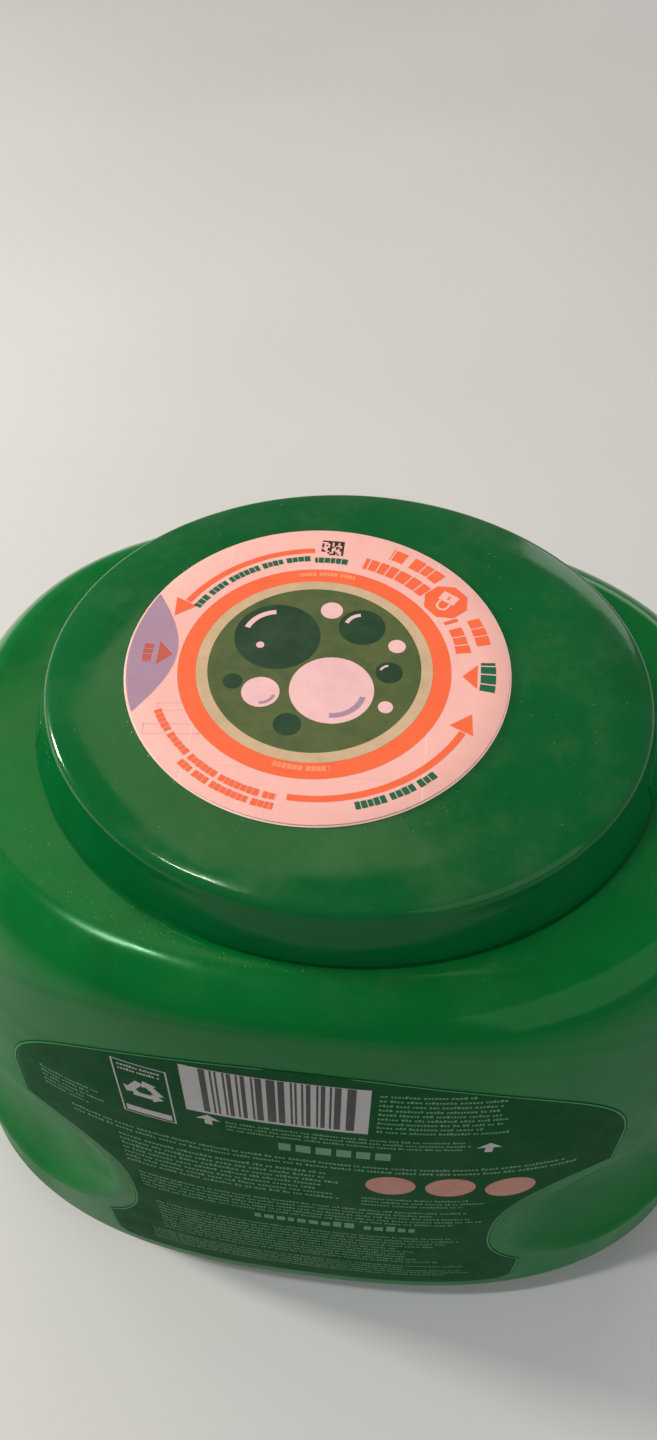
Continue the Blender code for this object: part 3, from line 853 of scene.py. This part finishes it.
def build_bubble_print(middle):
    """Round field with dark and pale bubbles, their shines and shades."""
    flat_print("lid_print_field_rim", [circle(*middle, 22.6, 128)], FILM_PALE, 3)
    flat_print("lid_print_field", [circle(*middle, 20.4, 128)], FIELD, 4)
    # Middle and radius of each bubble
    dark = ((-8.6, 5.6, 8.4), (7.6, 9.8, 4.6), (13.8, -1.2, 2.6),
            (-3.8, -15.6, 2.6), (-15.4, -6.6, 1.9))
    white = ((3.4, -6.6, 8.0), (-9.8, -8.6, 3.6), (1.2, 13.6, 2.2),
             (14.8, 5.6, 1.7), (13.8, -9.6, 1.4))
    flat_print("lid_print_bubbles_dark", [circle(*b) for b in dark], FIELD_DARK, 5)
    flat_print("lid_print_bubbles_white", [circle(*b) for b in white], FIELD_WHITE, 5)
    # Radius and width of each band, on the bubbles in their order
    shine = []
    for (r, width), (x, y, _) in zip(((6.4, 1.1), (3.2, 0.8), (1.7, 0.45)), dark):
        shine.append(arc_band(r, width, 100.0, 165.0, x, y))
    shine.append(circle(-11.6, 3.0, 0.8, 32))
    flat_print("lid_print_bubble_shine", shine, FIELD_WHITE, 6)
    shade = []
    for (r, width), (x, y, _) in zip(((6.1, 1.1), (2.6, 0.6)), white):
        shade.append(arc_band(r, width, 272.0, 350.0, x, y))
    flat_print("lid_print_bubble_shade", shade, LILAC, 6)


def build_lid_print():
    """Marks round the label's rim, and a plain design of bubbles inside them."""
    rng = random.Random(12)
    middle = (-0.5, -1.2)
    build_rim_print(rng, middle)
    build_lock_print()
    build_cell_print(rng)
    build_bubble_print(middle)


def label_half_width(z):
    """Half width of the face labels at a height, drawn in round the grips."""
    rise = max(z - LABEL_BEND, 0.0) / (LABEL_TOP - LABEL_BEND)
    dome = LABEL_HALF_WIDTH * math.sqrt(max(1.0 - rise ** 2, 0.0))
    if dome <= 0.0:
        return 0.0
    lean = abs(z - GRIP_HEIGHT) / (GRIP_RISE / 2.0 + LABEL_GRIP_MARGIN)
    bite = 2.0 * LABEL_HALF_WIDTH
    if lean < 1.0:
        reach = GRIP_LENGTH / 2.0 + LABEL_GRIP_MARGIN
        power = LABEL_GRIP_POWER
        bite = GRIP_OUT - reach * (1.0 - lean ** power) ** (1.0 / power)
    power = -LABEL_BLEND_POWER
    width = (dome ** power + bite ** power) ** (1.0 / power)
    if z < GRIP_HEIGHT:
        width = min(width, LABEL_FOOT_HALF)
    drop = max(LABEL_FOOT + LABEL_CORNER - z, 0.0) / LABEL_CORNER
    return width - LABEL_CORNER * (1.0 - math.sqrt(max(1.0 - drop * drop, 0.0)))


def label_point(side, x, z, lift):
    """Point on the tub's face, lifted along the face's normal."""
    step = 0.5
    rise_x = wall_depth_at(x + step, z) - wall_depth_at(x - step, z)
    rise_z = wall_depth_at(x, z + step) - wall_depth_at(x, z - step)
    normal = Vector((-rise_x, 2.0 * step, -rise_z)).normalized()
    point = Vector((x, wall_depth_at(x, z), z)) + normal * lift
    point.y *= side
    return point


def label_heights(top):
    """Heights of the sheet's rows: the rounded foot, the sides, the dome."""
    foot_steps, side_steps, dome_steps = 8, 70, 32
    low = LABEL_FOOT + LABEL_CORNER
    rows = []
    for turn in turns(foot_steps, 0):
        rows.append(LABEL_FOOT + LABEL_CORNER * (1.0 - math.cos(turn)))
    for k in range(1, side_steps + 1):
        rows.append(low + (LABEL_BEND - low) * k / side_steps)
    for turn in turns(dome_steps):
        rows.append(LABEL_BEND + (top - LABEL_BEND) * math.sin(turn))
    return rows


def build_label_sheet(name, side, mat, node):
    columns = 72
    rows = label_heights(LABEL_TOP - 0.02)
    points = []
    for z in rows:
        width = max(label_half_width(z), 0.4)
        for col in range(columns + 1):
            x = width * (2.0 * col / columns - 1.0)
            points.append(label_point(side, x, z, FILM_HIGH))
    faces = loft_faces(len(rows), columns + 1, closed=False)
    if side > 0:
        faces = [face[::-1] for face in faces]
    sheet = add_mesh(name, points, faces, mat, "tub", 60.0)
    add_wall(sheet, FILM_HIGH - FILM_LOW)
    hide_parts(node)


def build_edge_line(name, side):
    """Thin line just inside the label's outline."""
    inset = LABEL_LINE_INSET
    rows = [z for z in label_heights(LABEL_TOP - inset) if z > LABEL_FOOT + inset]
    right = [(max(label_half_width(z) - inset, 0.0), z) for z in rows]
    path = right + [(-x, z) for x, z in reversed(right)]
    points = []
    for i, (x, z) in enumerate(path):
        x0, z0 = path[i - 1]
        x1, z1 = path[(i + 1) % len(path)]
        length = math.hypot(x1 - x0, z1 - z0) or 1.0
        nx, nz = (z1 - z0) / length, (x0 - x1) / length
        for share in (-0.5, 0.5):
            step = LABEL_LINE_WIDTH * share
            points.append(label_point(side, x + nx * step, z + nz * step, INK_LIFT))
    faces = []
    for i in range(len(path)):
        j = (i + 1) % len(path)
        face = (2 * i, 2 * i + 1, 2 * j + 1, 2 * j)
        faces.append(face if side < 0 else face[::-1])
    add_mesh(name, points, faces, LABEL_EDGE, "tub", 80.0)


def wall_print(name, side, shapes, mat, lift=INK_LIFT):
    """Ink shapes laid on a face; each shape is rows of (x, z)."""
    points, faces = [], []
    for shape in shapes:
        base = len(points)
        for row in shape:
            points += [label_point(side, x, z, lift) for x, z in row]
        for face in loft_faces(len(shape), len(shape[0]), closed=False):
            face = tuple(base + i for i in face)
            faces.append(face if side < 0 else face[::-1])
    add_mesh(name, points, faces, mat, "tub", 80.0)


def bar(x0, x1, z0, z1):
    """Upright rectangle in cells of about two millimetres."""
    cols = int(abs(x1 - x0) / 2.0) + 2
    rows = int(abs(z1 - z0) / 2.0) + 2
    shape = []
    for r in range(rows):
        z = z0 + (z1 - z0) * r / (rows - 1)
        shape.append([(x0 + (x1 - x0) * c / (cols - 1), z) for c in range(cols)])
    return shape


def round_patch(x, z, r, hole=0.002):
    """Disc of four rings of cells, with a hole of a share of its radius."""
    rings, count = 4, 40
    rows = []
    for k in range(rings + 1):
        ring = circle(x, z, r * (hole + (1.0 - hole) * k / rings), count)
        rows.append(ring + ring[:1])
    return rows


def frame_bars(x0, x1, z0, z1, width):
    return [
        bar(x0, x1, z0, z0 + width), bar(x0, x1, z1 - width, z1),
        bar(x0, x0 + width, z0, z1), bar(x1 - width, x1, z0, z1),
    ]


def print_lines(rng, x0, x1, top, count, step, height, ragged):
    """Rows of small blocks in place of lines of print."""
    shapes = []
    for k in range(count):
        foot = top - k * step - height
        reach = label_half_width(foot + height) - PRINT_MARGIN
        end = min(x1 - (x1 - x0) * rng.uniform(0.0, ragged), reach)
        x = max(x0, -reach)
        word = rng.randint(2, 9)
        while x < end:
            wide = height * rng.uniform(0.34, 0.62)
            head = foot + height * rng.choice((0.72, 0.72, 0.72, 1.0))
            shapes.append([[(x, z), (x + wide, z)] for z in (foot, head)])
            word -= 1
            x += wide + height * (0.2 if word else 0.62)
            if not word:
                word = rng.randint(2, 9)
    return shapes


def bent_arrows(x, z, reach, width):
    """Three short arrows that follow each other round a triangle."""
    # Share of the arrow's length and share of its half width, row by row
    stem = ((0.18, 1.0), (0.45, 1.0), (0.70, 1.0))
    head = ((0.68, 2.1), (0.98, 0.05))
    shapes = []
    for k in range(3):
        a, b = math.radians(90 + 120 * k), math.radians(210 + 120 * k)
        p = Vector((x + reach * math.cos(a), z + reach * math.sin(a)))
        q = Vector((x + reach * math.cos(b), z + reach * math.sin(b)))
        along = q - p
        across = Vector((-along.y, along.x)).normalized() * width / 2.0
        for profile in (stem, head):
            rows = []
            for share, wide in profile:
                middle, half = p + along * share, across * wide
                rows.append([tuple(middle - half), tuple(middle + half)])
            shapes.append(rows)
    return shapes


def build_strokes():
    """Upright strokes of uneven widths and gaps on the pale box."""
    widths = (0.42, 0.84, 0.42, 1.26, 0.42, 0.84, 1.68, 0.42, 0.42, 1.26)
    gaps = (0.5, 0.84, 0.42, 1.1)
    strokes = []
    x, k = -20.6, 0
    while x < 8.6:
        w = widths[(k * 7 + 3) % len(widths)]
        strokes.append(bar(x, x + w, 127.6, 146.6))
        x += w + gaps[(k * 3 + 1) % len(gaps)]
        k += 1
    return strokes


def build_back_print():
    side, slot = -1.0, "back_label_film"
    rng = random.Random(5)
    wall_print("back_box", side, [bar(-24.4, 12.0, 126.6, 146.8)], LABEL_WHITE_PAINTED_SHADE)
    wall_print("back_strokes", side, build_strokes(), DARK_INK, STROKE_LIFT)
    marks = frame_bars(-38.6, -27.2, 117.6, 141.6, 0.35)
    marks.append(bar(-37.8, -28.0, 118.6, 121.2))
    marks += bent_arrows(-32.8, 130.2, 4.6, 1.8)
    marks += print_lines(rng, -37.4, -28.4, 140.2, 2, 1.7, 0.9, 0.1)
    for x, z in ((-20.2, 123.4), (36.5, 120.8)):
        marks.append(bar(x - 0.8, x + 0.8, z - 2.2, z))
        head = ((2.6, z), (0.05, z + 2.4))
        marks.append([[(x - half, level), (x + half, level)] for half, level in head])
    wall_print("back_marks", side, marks, LABEL_WHITE_PAINTED_SHADE)
    # Left, right, top, lines, line step, height, ragged share of the width
    texts = (
        (13.6, 40.0, 145.2, 9, 2.05, 1.0, 0.25),
        (-16.6, 33.0, 124.2, 3, 1.75, 0.9, 0.1),
        (-57.5, -42.0, 122.0, 5, 1.9, 0.9, 0.4),
        (-52.0, 58.0, 109.6, 2, 2.3, 1.15, 0.06),
        (-42.0, 8.0, 103.6, 7, 2.5, 1.25, 0.2),
        (12.0, 40.0, 90.4, 3, 2.1, 1.0, 0.2),
        (-40.0, 40.0, 82.0, 5, 2.2, 1.05, 0.2),
        (-38.0, 38.0, 62.4, 10, 2.3, 1.0, 0.25),
        (-42.0, 42.0, 37.4, 5, 2.1, 0.9, 0.3),
    )
    headings = (
        (-6.0, 17.0, 118.6, 1, 3.0, 5.2, 0.0),
        (-13.0, 25.0, 70.6, 1, 3.0, 3.8, 0.0),
    )
    for name, table in (("back_lines", texts), ("back_heading_blocks", headings)):
        lines = []
        for row in table:
            lines += print_lines(rng, *row)
        wall_print(name, side, lines, LABEL_TEXT)
    places = ((17.9, 98.8), (30.8, 98.6), (43.8, 97.2))
    discs = [round_patch(*place, 4.9) for place in places]
    discs += [round_patch(*place, 5.4, 0.9) for place in places]
    wall_print("back_discs", side, discs, LABEL_PINK)


def build_front_print():
    """Plain fields of colour and bubbles; this side isn't in the picture."""
    side, slot = 1.0, "front_label_film"
    half, width, middle = 39.0, 18.0, 92.0
    sweep = []
    for r in range(9):
        row = []
        for c in range(49):
            x = -half + 2.0 * half * c / 48
            z = middle + 10.0 * math.sin(x / half * 1.5)
            row.append((x, z - width / 2.0 + width * r / 8))
        sweep.append(row)
    wall_print("front_band", side, [sweep], LABEL_WHITE_PAINTED_SHADE)
    high = ((-20.0, 126.0, 9.0), (-2.0, 133.0, 6.0), (14.0, 127.0, 4.0),
            (26.0, 118.0, 7.0))
    low = ((-26.0, 58.0, 7.0), (-5.0, 50.0, 12.0), (19.0, 57.0, 8.0),
           (33.0, 42.0, 5.0))
    for name, spots, mat in (
        ("front_bubbles", high, LABEL_TEXT), ("front_bubbles_orange", low, ORANGE),
    ):
        wall_print(name, side, [round_patch(*spot) for spot in spots], mat)


def build_specks(name, spots, body):
    """Crumbs of dust: low six-sided grains of uneven outline."""
    rng = random.Random(21)
    s = Shader(name + "_mat")
    share = s.ramp(s.noise(900.0), 0.3, 0.7)
    tone = s.mix(share, srgb(176, 186, 140), srgb(120, 140, 90))
    s.set(Base_Color=tone, Roughness=0.9)
    points, faces = [], []
    for place, size in spots:
        base = len(points)
        turn = rng.uniform(0.0, math.pi)
        stretch = rng.uniform(0.7, 1.7)
        for k in range(6):
            a = turn + 2.0 * math.pi * k / 6
            r = size * rng.uniform(0.7, 1.2)
            x, y = math.cos(a) * r * stretch, math.sin(a) * r / stretch
            points.append(place + Vector((x, y, 0.0)))
        points.append(place + Vector((0.0, 0.0, size * 0.7)))
        faces += [(base + k, base + (k + 1) % 6, base + 6) for k in range(6)]
        faces.append(tuple(base + k for k in reversed(range(6))))
    add_mesh(name, points, faces, s.mat, body)


def lid_dust(rng):
    """Dust on the lid's top, along the label's rim and on the left edge."""
    spots = []
    while len(spots) < 90:
        angle = rng.uniform(0.0, 2.0 * math.pi)
        share = math.sqrt(rng.random()) * 0.97
        spot = lid_top_ring(share, [angle])[0]
        if (spot.xy - STICKER.xy).length > STICKER_RADIUS + 0.3:
            spots.append((spot, rng.uniform(0.04, 0.09)))
    for _ in range(34):
        angle = math.radians(rng.gauss(195.0, 34.0))
        r = STICKER_RADIUS + abs(rng.gauss(0.1, 0.3)) + 0.12
        spots.append((polar(angle, r, LID_TOP) + STICKER, rng.uniform(0.05, 0.11)))
    for _ in range(70):
        angle = math.radians(rng.gauss(186.0, 17.0))
        z = LID_SIDE_TOP + LID_ROUND * rng.uniform(-1.5, 0.75)
        spots.append((lid_ring(z, [angle])[0], rng.uniform(0.04, 0.10)))
    return spots


def shoulder_dust(rng):
    """Dust round the lid's foot, most of it at the near left."""
    spots = []
    for _ in range(95):
        near = rng.random() < 0.8
        angle = math.radians(rng.gauss(232.0, 20.0) if near else rng.uniform(0, 360))
        inner = lid_ring(LID_FOOT, [angle], -0.4)[0]
        outer = shoulder_point(angle, math.radians(76.0))
        spot = inner.lerp(outer, rng.random())
        edge = shoulder_point(angle, QUARTER)
        past = spot.xy.length - edge.xy.length
        share = max(past / (outer.xy.length - edge.xy.length), 0.0)
        spot.z = SHOULDER_HEIGHT + (outer.z - SHOULDER_HEIGHT) * share * share
        spots.append((spot, rng.uniform(0.04, 0.09)))
    return spots


def scatter_dust():
    rng = random.Random(8)
    build_specks("dust_on_lid", lid_dust(rng), "lid")
    build_specks("dust_on_shoulder", shoulder_dust(rng), "tub")


def build_stage():
    s = Shader("stage_paper")
    share = s.ramp(s.noise(3.0, 2.0), 0.3, 0.7)
    tone = s.mix(share, srgb(198, 197, 195), srgb(204, 203, 201))
    s.set(Base_Color=tone, Roughness=0.85, Specular_IOR_Level=0.2)
    floor = bpy.data.meshes.new("floor")
    outline = rectangle(-STAGE_REACH, STAGE_REACH, -STAGE_REACH, STAGE_REACH)
    floor.from_pydata([(x, y, -FLOOR_DROP) for x, y in outline], [], [(0, 1, 2, 3)])
    backdrop = bpy.data.meshes.new("backdrop")
    bend_steps, rise_steps = 16, 4
    points, faces = [], []
    for k in range(bend_steps + rise_steps + 1):
        a = QUARTER * min(k, bend_steps) / bend_steps
        y = BACKDROP_START + BACKDROP_ROUND * math.sin(a)
        z = BACKDROP_FOOT + BACKDROP_ROUND * (1.0 - math.cos(a))
        z += BACKDROP_STEP * max(k - bend_steps, 0)
        points += [(-STAGE_REACH, y, z), (STAGE_REACH, y, z)]
        if k:
            faces.append((2 * k - 2, 2 * k - 1, 2 * k + 1, 2 * k))
    backdrop.from_pydata(points, [], faces)
    for mesh in (floor, backdrop):
        mesh.materials.append(s.mat)
        mesh.shade_smooth()
        piece = place_object(mesh.name, mesh)


def build_lamps():
    for name, place, size, power, color in LAMPS:
        data = bpy.data.lights.new(name, "AREA")
        data.energy = power
        data.color = color
        data.shape = "RECTANGLE"
        data.size, data.size_y = size
        lamp = place_object(name, data)
        lamp.location = place
        aim = LAMP_AIM - lamp.location
        lamp.rotation_euler = aim.to_track_quat("-Z", "Y").to_euler()
    world = bpy.data.worlds.new("studio")
    world.use_nodes = True
    background = world.node_tree.nodes["Background"]
    background.inputs["Color"].default_value = WORLD_COLOR
    background.inputs["Strength"].default_value = WORLD_STRENGTH
    bpy.context.scene.world = world


def build_camera():
    data = bpy.data.cameras.new("view")
    data.sensor_width, data.lens = CAMERA_SENSOR, CAMERA_LENS
    data.clip_start, data.clip_end = CAMERA_NEAR, CAMERA_FAR
    camera = place_object("view", data)
    right = CAMERA_FORWARD.cross(CAMERA_UP)
    turn = Matrix((right, CAMERA_UP, -CAMERA_FORWARD)).transposed().to_4x4()
    camera.matrix_world = Matrix.Translation(CAMERA_PLACE) @ turn
    bpy.context.scene.camera = camera
    bpy.context.scene.view_settings.view_transform = "Standard"


def main():
    build_tub()
    build_thread(
        "neck_thread", NECK_RADIUS, rise=1.0, start=0.4, z=174.9, pitch=4.8,
        mat=TUB_GREEN, body="tub",
    )
    build_lid()
    build_plug_ring()
    build_thread(
        "lid_ring_thread", RING_IN, rise=-0.4, start=3.4, z=178.2, pitch=3.6,
        mat=LID_GREEN, body="lid",
    )
    build_tab("press_tab_left", -1.0, "tab_left")
    build_tab("press_tab_right", 1.0, "tab_right")
    build_disc(
        "sticker_backing", STICKER_RADIUS, BACKING_FOOT, BACKING_TOP, BACKING_EDGE,
        PAPER_EDGE, "lid_label_backing",
    )
    build_disc(
        "sticker_leaflet", LEAFLET_RADIUS, LEAFLET_FOOT, LEAFLET_TOP, LEAFLET_EDGE,
        PAPER, "lid_label_leaflet",
    )
    build_lid_print()
    build_label_sheet(
        "back_label_sheet", -1.0, LABEL_GREEN, "back_label"
    )
    build_edge_line("back_label_line", -1.0)
    build_back_print()
    build_label_sheet(
        "front_label_sheet", 1.0, LABEL_BRIGHT, "front_label"
    )
    build_edge_line("front_label_line", 1.0)
    build_front_print()
    scatter_dust()
    build_stage()
    build_lamps()
    build_camera()


main()
